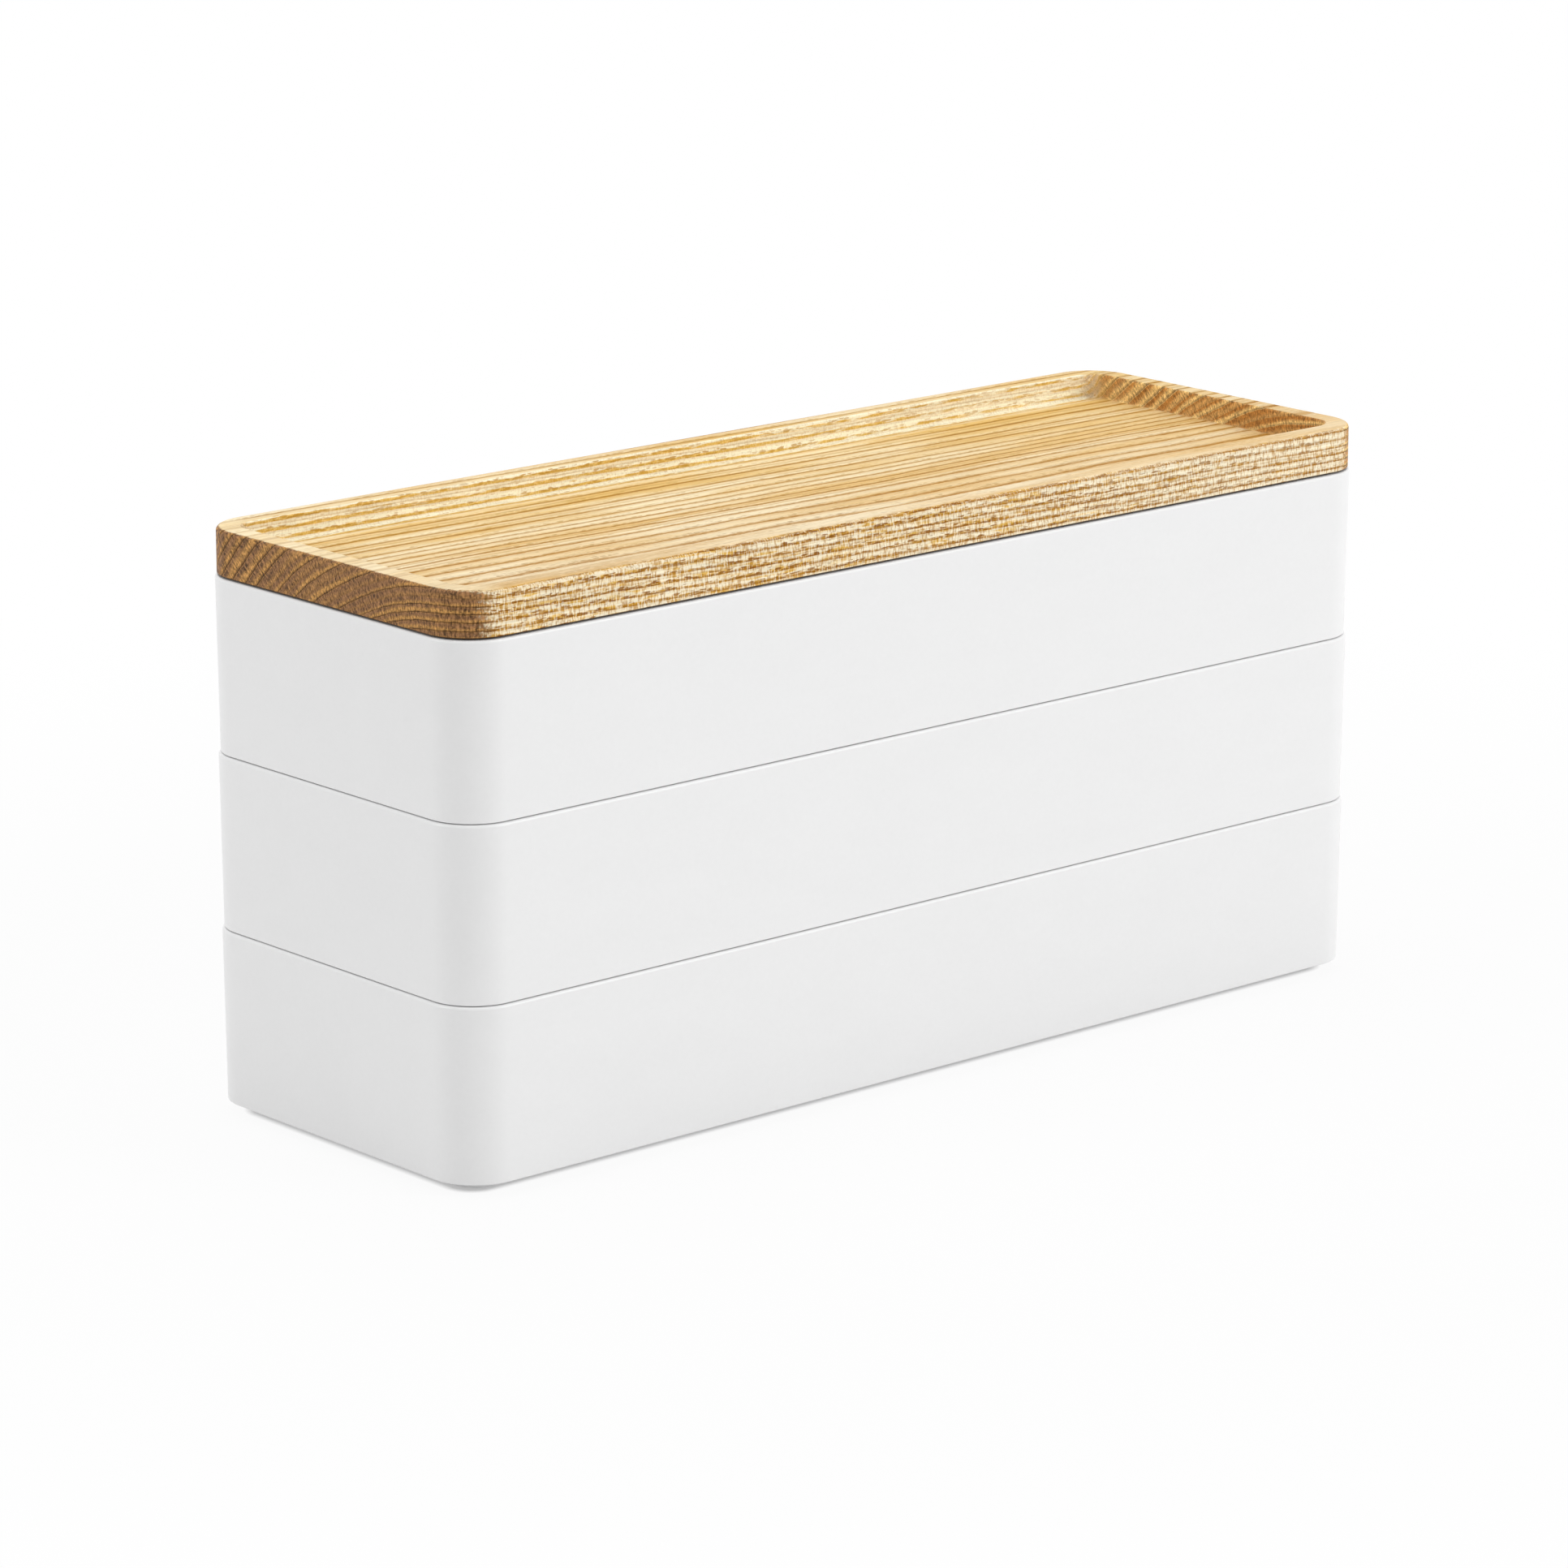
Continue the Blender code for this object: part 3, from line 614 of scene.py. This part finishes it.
# Carries a profile of (inset, height) pairs round an outline: each point moves in along its outward direction
# by the inset, which may differ from station to station, and up by the height.
def caseRings(outline, profile, insets=None):
    points, normals = outline
    insets = np.repeat(profile[:, :1], len(points), axis=1) if insets is None else insets
    level = points[None] - insets[..., None] * normals[None]
    height = np.repeat(profile[:, 1:], len(points), axis=1)
    return np.concatenate([level, height[..., None]], axis=2)


# Moulded tray: a drafted wall on a low plinth that drops into the tray below
trayShape = {
    "wallHeight": 34.7,
    "draft": 0.4,
    "wall": 3.2,
    "floorRise": 0.6,
    "plinthInset": 4.0,
    "plinthDrop": 1.8,
    "plinthRound": 0.5,
    "lowerRound": 0.15,
    "seamDrop": 0.1,  # of the wall's outer edge, so that the seam below it looks closed
    "rimRound": 0.55,
    "mouthRound": 0.8,
    "floorFillet": 2.5,
    "roundSteps": 7,
    "ribWidth": 1.6,
    "ribReach": 1.2,
    "ribRound": 0.3,
    "ribTop": 26.2,
    "ribLead": 2.0,  # height over which a rib's top slopes back into the wall
    "ribOffset": 1.9,  # of each rib of a pair from the divider between them
    "wallHeights": (30.0, 18.0, 10.0),  # of points up the inside
    "ribDrops": (-0.3, 0.0, 0.4, 1.2, 1.7, 2.0, 2.5),  # of more points below the ribs' tops
    # places of points from a rib's middle, by half its width
    "ribPlaces": (0.0, 0.375, 0.625, 0.775, 0.8875, 0.9625, 0.99875, 1.00125, 1.0375, 1.125, 1.25, 1.375),
    "pocketDepth": 0.8,
    "pocketRadius": 5.3,
    "pocketSteps": 48,
}
# stations of the dividers: across the case by x, and along it by y
dividerStations = {
    "bottom_tier": {"across": [31.6], "along": []},
    "middle_tier": {"across": [-58.2, 0.0, 58.2], "along": [0.0]},
    "top_tier": {"across": [-24.4, 46.0], "along": []},
}
footPlaces = [(-107.0, -28.0), (107.0, -28.0), (107.0, 28.0), (-107.0, 28.0)]


# How far the draft sets the wall in at a height: evenly less from its foot to where the rim's round starts
def draftAt(z):
    return trayShape["draft"] * (1 - z / (trayShape["wallHeight"] - trayShape["rimRound"]))


# Half of a tray's section, from the plinth's underside up the outside, over the rim and down to the floor
def trayProfile(shape):
    steps, height, wall = shape["roundSteps"], shape["wallHeight"], shape["wall"]
    small, rim, mouth, fillet = (shape[k] for k in ("lowerRound", "rimRound", "mouthRound", "floorFillet"))
    plinth = (shape["plinthInset"] + shape["plinthRound"], shape["plinthRound"] - shape["plinthDrop"])
    lip, filletTop = height - mouth, shape["floorRise"] + fillet
    inside = sorted([*shape["wallHeights"], *(shape["ribTop"] - drop for drop in shape["ribDrops"])])
    return supported([
        arc(plinth, shape["plinthRound"], 270, 180, steps),
        np.array([[shape["plinthInset"], 0.0]]),
        arc((draftAt(small) + small, small - shape["seamDrop"]), small, 270, 180, steps),
        arc((rim, height - rim), rim, 180, 90, steps),
        arc((wall + draftAt(lip) - mouth, lip), mouth, 90, 0, steps),
        np.array([[wall + draftAt(z), z] for z in inside[::-1]]),
        arc((wall + draftAt(filletTop) + fillet, filletTop), fillet, 180, 270, 2 * steps),
    ])


# How far a rib stands out, by the distance from its middle: level over its nose, with a quarter circle at its
# edge and another where it leaves the wall
def ribHeight(distance, shape):
    half, turn, reach = shape["ribWidth"] / 2, shape["ribRound"], shape["ribReach"]
    nose = np.clip((distance - (half - turn)) / turn, 0, 1)
    root = np.clip((half + turn - distance) / turn, 0, 1)
    inside = reach - turn * (1 - np.sqrt(1 - nose ** 2))
    outside = turn * (1 - np.sqrt(1 - root ** 2))
    return np.where(distance <= half, inside, outside)


# The tray's surface: its profile carried round the case. On the inside, ribs stand out from the wall at their
# stations by ribHeight, less towards their tops, where they slope back into the wall.
def trayRings(shape, across, along):
    nearRib = np.array(shape["ribPlaces"]) * shape["ribWidth"] / 2
    nearRib = np.concatenate([-nearRib[:0:-1], nearRib])
    pair = shape["ribOffset"]
    ribs = [np.array([at + side for at in stations for side in (-pair, pair)]) for stations in (across, along)]
    outline = caseOutline(caseShape, *((rib[:, None] + nearRib).ravel() for rib in ribs))
    points, normals = outline
    reach = np.zeros(len(points))
    for axis, rib in enumerate(ribs):
        if len(rib):
            onSide = np.abs(normals[:, 1 - axis]) > 1 - tiny
            distance = np.abs(points[:, axis, None] - rib).min(axis=1)
            reach = np.where(onSide, ribHeight(distance, shape), reach)
    profile = trayProfile(shape)
    inside = np.arange(len(profile)) > np.argmax(profile[:, 1])
    slope = np.clip((shape["ribTop"] - profile[:, 1]) / shape["ribLead"], 0, 1) * inside
    stand = slope[:, None] * reach
    ribInset = np.where(stand > 0, shape["wall"] + stand, 0)
    return caseRings(outline, profile, np.maximum(profile[:, :1], ribInset))


# Twice the signed area of a flat triangle: positive where its corners run anticlockwise
def turnOf(corners):
    (ax, ay), (bx, by) = corners[1] - corners[0], corners[2] - corners[0]
    return ax * by - ay * bx


# The underside of the bottom tray: a flat face with four round pockets for the feet
def footPockets(outer, shape):
    steps, under = shape["pocketSteps"], outer[0, 2]
    circles = [arc(place, shape["pocketRadius"], 0, 360, steps)[:-1] for place in footPlaces]
    loops = [[Vector((x, y, 0)) for x, y in loop] for loop in [outer[:, :2], *circles]]
    flat = np.concatenate([outer[:, :2], *circles])
    face = [corners[::-1] if turnOf(flat[list(corners)]) > 0 else corners
            for corners in tessellate_polygon(loops)]
    extras = [(np.column_stack([flat, np.full(len(flat), under)]), face)]
    here = np.arange(steps)
    after = np.roll(here, -1)
    sides = np.stack([after, here, here + steps, after + steps], axis=1).tolist()
    levels = np.repeat([under, under + shape["pocketDepth"]], steps)
    for circle in circles:
        walls = np.column_stack([np.tile(circle, (2, 1)), levels])
        extras.append((walls, sides + [(here + steps)[::-1].tolist()]))
    return extras


for body in tiers:
    rings = trayRings(trayShape, **dividerStations[body])
    rings[..., 2] += tierFoot(body)
    pockets = footPockets(rings[0], trayShape) if body == "bottom_tier" else ()
    tray = addPiece(body + "_tray", rings, body, "white_abs", closeStart=not pockets, extras=pockets)
    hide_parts(body + "_shell")
print("trays made")


# Loose dividers: flat plates between rib pairs, with a finger dip or halved joints
dividerShape = {
    "thickness": 1.6,
    "low": 2.4,
    "high": 27.2,
    "edgeRound": 0.3,
    "edgeSteps": 4,
    "topRound": 2.0,
    "footRound": 2.5,
    "slot": 2.2,
    "dipWidth": 22.0,
    "dipDepth": 5.0,
    "dipSteps": 48,
    "roundSteps": 8,
}


# A square cut into an edge: along one side of the station to the depth, across, and back along the other side
def squareCut(at, edge, depth, half):
    return np.array([[at + half, edge], [at + half, depth], [at - half, depth], [at - half, edge]])


# A divider seen square on, anticlockwise: its ends follow the tray's draft, its corners are rounded, a dip in
# its top follows a cosine, and slots and notches are square
def dividerOutline(shape, halfSize, dip, slots, notches):
    low, high, foot, top = shape["low"], shape["high"], shape["footRound"], shape["topRound"]
    steps, half, gap = shape["roundSteps"], shape["slot"] / 2, caseShape["fitGap"]
    middle = (low + high) / 2
    lowReach, highReach = (halfSize - trayShape["wall"] - draftAt(z) - gap for z in (low, high))
    points = [arc((foot - lowReach, low + foot), foot, 180, 270, steps),
              *(squareCut(at, low, middle + gap / 2, -half) for at in notches),
              arc((lowReach - foot, low + foot), foot, 270, 360, steps),
              arc((highReach - top, high - top), top, 0, 90, steps),
              *(squareCut(at, high, middle - gap / 2, half) for at in slots[::-1])]
    if dip:
        share = np.linspace(1, -1, shape["dipSteps"] + 1)
        fall = shape["dipDepth"] * (1 + np.cos(np.pi * share)) / 2
        points.append(np.stack([share * shape["dipWidth"] / 2, high - fall], axis=1))
    points.append(arc((top - highReach, high - top), top, 90, 180, steps))
    return np.concatenate(points)


# A closed outline moved in by a distance: each point goes along the middle of its two edges' outward directions
def insetOutline(outline, distance):
    edge = np.roll(outline, -1, axis=0) - outline
    normal = np.stack([edge[:, 1], -edge[:, 0]], axis=1) / np.linalg.norm(edge, axis=1)[:, None]
    before = np.roll(normal, 1, axis=0)
    return outline - distance * (normal + before) / (1 + (normal * before).sum(axis=1))[:, None]


# A plate: the outline carried through its thickness, drawn in round a quarter circle at both faces
def plateRings(outline, shape, across, station, base):
    half, turn = shape["thickness"] / 2, shape["edgeRound"]
    edge = arc((turn, turn - half), turn, 270, 180, shape["edgeSteps"])
    edge = np.concatenate([edge, edge[::-1] * (1, -1)])
    rings = []
    for inset, through in edge:
        along, up = insetOutline(outline, inset).T
        side = np.full(len(along), through)
        level = [station + side, along] if across else [along, station - side]
        rings.append(np.stack([*level, up + base], axis=1))
    return np.stack(rings)


# A divider reaches from wall to wall of its tray, across the case or along it, at its station
def addDivider(node, body, across, station, dip=False, slots=(), notches=()):
    halfSize = (caseShape["depth"] if across else caseShape["length"]) / 2
    outline = dividerOutline(dividerShape, halfSize, dip, slots, notches)
    rings = plateRings(outline, dividerShape, across, station, tierFoot(body))
    divider = addPiece(node + "_plate", rings, body, "white_abs")
    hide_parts(node)


bottomStations, middleStations, topStations = (dividerStations[body]["across"] for body in tiers)
addDivider("bottom_tier_divider", "bottom_tier", True, bottomStations[0], dip=True)
addDivider("middle_tier_long_divider", "middle_tier", False, 0.0, slots=middleStations)
for number, station in enumerate(middleStations, 1):
    addDivider(f"middle_tier_cross_divider_{number}", "middle_tier", True, station, notches=[0.0])
for number, station in enumerate(topStations, 1):
    addDivider(f"top_tier_divider_{number}", "top_tier", True, station, dip=True)
print("dividers made")


# Felt liners: die-cut sheets laid on the tray floors
linerShape = {
    "inset": 6.4,
    "low": 0.9,
    "high": 2.1,
    "edgeRound": 0.35,
    "edgeSteps": 3,
}


# A liner's section is a straight edge, rounded above and below, carried round the case
def addLiner(shape, body):
    inset, low, high, turn, steps = (shape[k] for k in ("inset", "low", "high", "edgeRound", "edgeSteps"))
    profile = supported([arc((inset + turn, low + turn), turn, 270, 180, steps),
                         arc((inset + turn, high - turn), turn, 180, 90, steps)])
    rings = caseRings(caseOutline(caseShape), profile)
    rings[..., 2] += tierFoot(body)
    liner = addPiece(body + "_felt", rings, body, "grey_felt")
    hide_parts(body + "_liner")


for body in tiers:
    addLiner(linerShape, body)
print("felt liners made")


# Ring rolls: foam bars wrapped in velour, flat where they stand, with the cloth gathered in at their ends
rollShape = {
    "count": 5,
    "pitch": 14.45,
    "radius": 6.9,
    "left": -113.45,
    "right": -27.45,
    "seat": 0.86,  # height of the middle over the seat, by the radius
    "seatRound": 0.25,
    "base": 2.4,
    "endRound": 3.0,
    "endFace": 0.62,  # radius of the flat end face, by the radius
    "eye": 0.02,  # what the gathers leave open in its middle
    "dimple": 0.7,
    "stations": 96,
    "lengthSteps": 90,
    "roundSteps": 11,
    "faceSteps": 8,
    "pleats": 13,
    "pleatDepth": 0.16,
    "pleatLength": 2.2,
    "unevenness": 0.06,
    "waves": (9.0, 13.0),  # length scales of the unevenness
    "phase": 1.7,  # from roll to roll
}


# The larger of a value and a floor, rounded where they meet: the floor plus the softness times the log of one
# plus e to their difference by the softness, held to a most
def seatCut(value, floor, softness, most=40):
    return floor + softness * np.log1p(np.exp(np.clip((value - floor) / softness, -most, most)))


# A roll's surface by length and angle: a circle cut flat below, shrunk over its ends by a quarter ellipse and
# on to a point in each end face. Near the ends, pleats go round it as a cosine that dies away along the roll.
def rollRings(shape, y, base, phase):
    radius, face, endRound, pleatDepth = (shape[k] for k in ("radius", "endFace", "endRound", "pleatDepth"))
    quarter = np.linspace(0, np.pi / 2, shape["roundSteps"] + 1)
    inFace = np.linspace(shape["eye"], face, shape["faceSteps"] + 1)[:-1]
    middle = np.linspace(endRound, (shape["right"] - shape["left"]) / 2, shape["lengthSteps"] // 2)[1:]
    dimple = shape["dimple"] * (1 - (inFace / face) ** 2)
    fromEnd = np.concatenate([dimple, endRound * (1 - np.cos(quarter)), middle])
    width = np.concatenate([inFace, face + (1 - face) * np.sin(quarter), np.ones(len(middle))])
    distance = np.where(np.arange(len(fromEnd)) < len(inFace), 0, fromEnd)
    x = np.concatenate([shape["left"] + fromEnd, (shape["right"] - fromEnd)[-2::-1]])[:, None]
    width, distance = (np.concatenate([half, half[-2::-1]])[:, None] for half in (width, distance))
    angle = np.linspace(0, 2 * np.pi, shape["stations"], endpoint=False)
    pleat = pleatDepth * np.cos(shape["pleats"] * angle + phase) * np.exp(-distance / shape["pleatLength"])
    short, long = shape["waves"]
    swell = shape["unevenness"] * np.sin(2 * angle + x / short + phase) * np.sin(x / long + 2 * phase)
    across = radius + (pleat + swell - pleatDepth - shape["unevenness"])
    seat = radius * shape["seat"]
    upward = seatCut(across * np.sin(angle), -seat, shape["seatRound"]) * width
    sideways = across * np.cos(angle) * width
    return np.stack([np.repeat(x, len(angle), axis=1), y + sideways, base + seat + upward], axis=2)


for number in range(rollShape["count"]):
    y = (number - (rollShape["count"] - 1) / 2) * rollShape["pitch"]
    rings = rollRings(rollShape, y, tierFoot("top_tier") + rollShape["base"], number * rollShape["phase"])
    roll = addPiece(f"ring_roll_{number + 1}_velour", rings, "top_tier", "grey_velour")
    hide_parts(f"ring_roll_{number + 1}")
print("ring rolls made")


# Silicone feet: turned pads, set into the pockets and rounded where they stand
footShape = {
    "radius": 5.0,
    "top": 1.3,
    "round": 0.4,
    "roundSteps": 6,
    "topRound": 0.15,
    "topSteps": 3,
    "core": 0.8,  # radius of the last ring round the middle of each face
    "steps": 64,
}


# Half of a foot's section, from near its middle round its edge and back
def footProfile(shape):
    radius, top, turn, topTurn, core = (shape[k] for k in ("radius", "top", "round", "topRound", "core"))
    return supported([
        np.array([[core, 0.0]]),
        arc((radius - turn, turn), turn, 270, 360, shape["roundSteps"]),
        arc((radius - topTurn, top - topTurn), topTurn, 0, 90, shape["topSteps"]),
        np.array([[core, top]]),
    ])


# A turned surface: each (radius, height) pair of the profile goes round a vertical line through the place
def turnedRings(profile, place, steps):
    level = np.asarray(place) + profile[:, None, :1] * arc((0, 0), 1, 0, 360, steps)[None, :-1]
    height = np.repeat(profile[:, 1:], steps, axis=1)
    return np.concatenate([level, height[..., None]], axis=2)


for number, place in enumerate(footPlaces, 1):
    rings = turnedRings(footProfile(footShape), place, footShape["steps"])
    foot = addPiece(f"foot_{number}_pad", rings, "bottom_tier", "silicone")
    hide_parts(f"foot_{number}")
print("feet made")


# Lid: one board of ash with a level rim, a recess above and a spigot below
lidShape = {
    "base": 107.6,
    "height": 9.1,
    "inset": 0.35,
    "spigotInset": 4.0,
    "spigotDrop": 2.4,
    "spigotRound": 0.5,
    "topRound": 0.9,
    "lowerRound": 0.25,
    "rim": 5.0,
    "recess": 5.1,
    "recessDraft": 0.3,
    "innerRound": 0.5,
    "floorRound": 0.6,
    "roundSteps": 8,
}


# Half of the lid's section, from the spigot's underside round the rim to the edge of the recess's floor
def lidProfile(shape):
    steps, inset, height = shape["roundSteps"], shape["inset"], shape["height"]
    spigot, lower, top = shape["spigotRound"], shape["lowerRound"], shape["topRound"]
    inner, floor = inset + shape["rim"], height - shape["recess"]
    innerRound, floorRound = shape["innerRound"], shape["floorRound"]
    return supported([
        arc((shape["spigotInset"] + spigot, spigot - shape["spigotDrop"]), spigot, 270, 180, steps),
        np.array([[shape["spigotInset"], 0.0]]),
        arc((inset + lower, lower), lower, 270, 180, steps),
        arc((inset + top, height - top), top, 180, 90, steps),
        arc((inner - innerRound, height - innerRound), innerRound, 90, 0, steps),
        arc((inner + shape["recessDraft"] + floorRound, floor + floorRound), floorRound, 180, 270, steps),
    ])


rings = caseRings(caseOutline(caseShape), lidProfile(lidShape))
rings[..., 2] += lidShape["base"]
lid = addPiece("lid_ash_board", rings, "lid", "ash")
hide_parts("lid_tray")
print("lid made")


# Floor and background: white to the camera and in reflections, with the case's own shadow and a painted shade
# under the case
stageLook = {
    "floorSize": 12000.0,
    "floorColour": "#DEDEDE",
    "whiteShare": 0.93,  # near the case; all white further off
    "shadeUnderCase": 0.42,  # under the case, a painted shade
    "footprint": (115.2, 35.2, 5.0, 1.8),  # half its length and depth, its corner radius and soft edge
    "shadowReach": (150.0, 420.0),
    "skyStrength": 0.5,
}


# What adds nodes to the emptied tree of a material or a world
def emptyTree(owner):
    owner.use_nodes = True
    owner.node_tree.nodes.clear()
    return functools.partial(addNode, owner.node_tree)


# 1 for a ray from the camera, a glossy surface or a clear one, and 0 for light on its way to the case
def seenShare(add):
    rays = add("LightPath").outputs
    seen = add("Math MAXIMUM", rays["Is Camera Ray"], rays["Is Glossy Ray"])
    return add("Math MAXIMUM", seen, rays["Is Transmission Ray"])


# The paper under the case, with less white inside its rounded footprint: a painted shade. The distance from the
# footprint is that of points beyond its corner centres, less the corner radius.
def makeFloor(look):
    material = bpy.data.materials.new("white paper sweep")
    add = emptyTree(material)
    place = add("TexCoord").outputs["Object"]
    near, far = (reach * metre for reach in look["shadowReach"])
    away = add("VectorMath LENGTH", place)
    fading = add("MapRange SMOOTHSTEP", away, near, far, look["whiteShare"], 1.0)
    halfLength, halfDepth, corner, soft = (size * metre for size in look["footprint"])
    centres = (halfLength - corner, halfDepth - corner, 0)
    beyond = add("VectorMath SUBTRACT", add("VectorMath ABSOLUTE", place), centres)
    outside = add("VectorMath LENGTH", add("VectorMath MAXIMUM", beyond, (0, 0, 0)))
    # painted shade: inside the footprint the white share drops, so the floor shows darker under the case
    under = add("MapRange", outside, corner, corner + soft, look["shadeUnderCase"], 1.0)
    share = seenShare(add)
    for part in (fading, under):
        share = add("Math MULTIPLY", share, part)
    paper = add("BsdfDiffuse", linear(look["floorColour"]))
    add("OutputMaterial", add("MixShader", share, paper, add("Emission", (1, 1, 1, 1), 1.0)))
    half = look["floorSize"] / 2 * metre
    mesh = bpy.data.meshes.new("floor")
    corners = [(-half, -half, 0), (half, -half, 0), (half, half, 0), (-half, half, 0)]
    mesh.from_pydata(corners, [], [(0, 1, 2, 3)])
    mesh.materials.append(material)
    floor = addObject("floor", mesh)


# A white sky that the camera sees at full strength and the case at less
def makeWorld(look):
    world = bpy.data.worlds.new("studio")
    bpy.context.scene.world = world
    add = emptyTree(world)
    strength = add("MapRange", seenShare(add), 0.0, 1.0, look["skyStrength"], 1.0)
    add("OutputWorld", add("Background", (1, 1, 1, 1), strength))


# Soft boxes: where each stands, its size and its power
lamps = {
    "key right": {"place": (1150.0, -1950.0, 1050.0), "size": 1250.0, "power": 26.5},
    "fill left": {"place": (-1500.0, 500.0, 800.0), "size": 900.0, "power": 6.7},
    "overhead": {"place": (100.0, 300.0, 1500.0), "size": 1200.0, "power": 9.0},
}
lampAim = (0.0, 0.0, 60.0)  # the middle of the case


# A square soft box, turned to the middle of the case
def addLamp(name, lamp):
    light = bpy.data.lights.new(name, "AREA")
    light.size = lamp["size"] * metre
    light.energy = lamp["power"]
    place = Vector(lamp["place"]) * metre
    holder = addObject(name, light)
    holder.location = place
    holder.rotation_euler = (Vector(lampAim) * metre - place).to_track_quat("-Z", "Y").to_euler()


makeFloor(stageLook)
makeWorld(stageLook)
for name, lamp in lamps.items():
    addLamp(name, lamp)
print("floor, background and lamps made")


# Camera at the photograph's viewing angle
cameraSetup = {
    "place": (-829.8, -929.4, 380.0),
    "turn": 41.584,  # of the view from +Y towards +X
    "tilt": 14.726,  # below level
    "roll": 0.084,
    "lens": 147.14,
    "sensor": 36.0,
    "reach": 100.0,  # metres
}


# The camera looks along the direction of its turn and tilt, and rolls about it
def addCamera(setup):
    turn, tilt, roll = (math.radians(setup[k]) for k in ("turn", "tilt", "roll"))
    ahead = Vector((math.sin(turn) * math.cos(tilt), math.cos(turn) * math.cos(tilt), -math.sin(tilt)))
    level = Vector((math.cos(turn), -math.sin(turn), 0))
    above = level.cross(ahead)
    right = level * math.cos(roll) + above * math.sin(roll)
    up = above * math.cos(roll) - level * math.sin(roll)
    data = bpy.data.cameras.new("camera")
    data.lens = setup["lens"]
    data.sensor_width = setup["sensor"]
    data.clip_end = setup["reach"]
    camera = addObject("camera", data)
    pose = Matrix((right, up, -ahead)).transposed().to_4x4()
    pose.translation = Vector(setup["place"]) * metre
    camera.matrix_world = pose
    bpy.context.scene.camera = camera


addCamera(cameraSetup)
bpy.context.scene.view_settings.view_transform = "Standard"
bpy.context.view_layer.update()
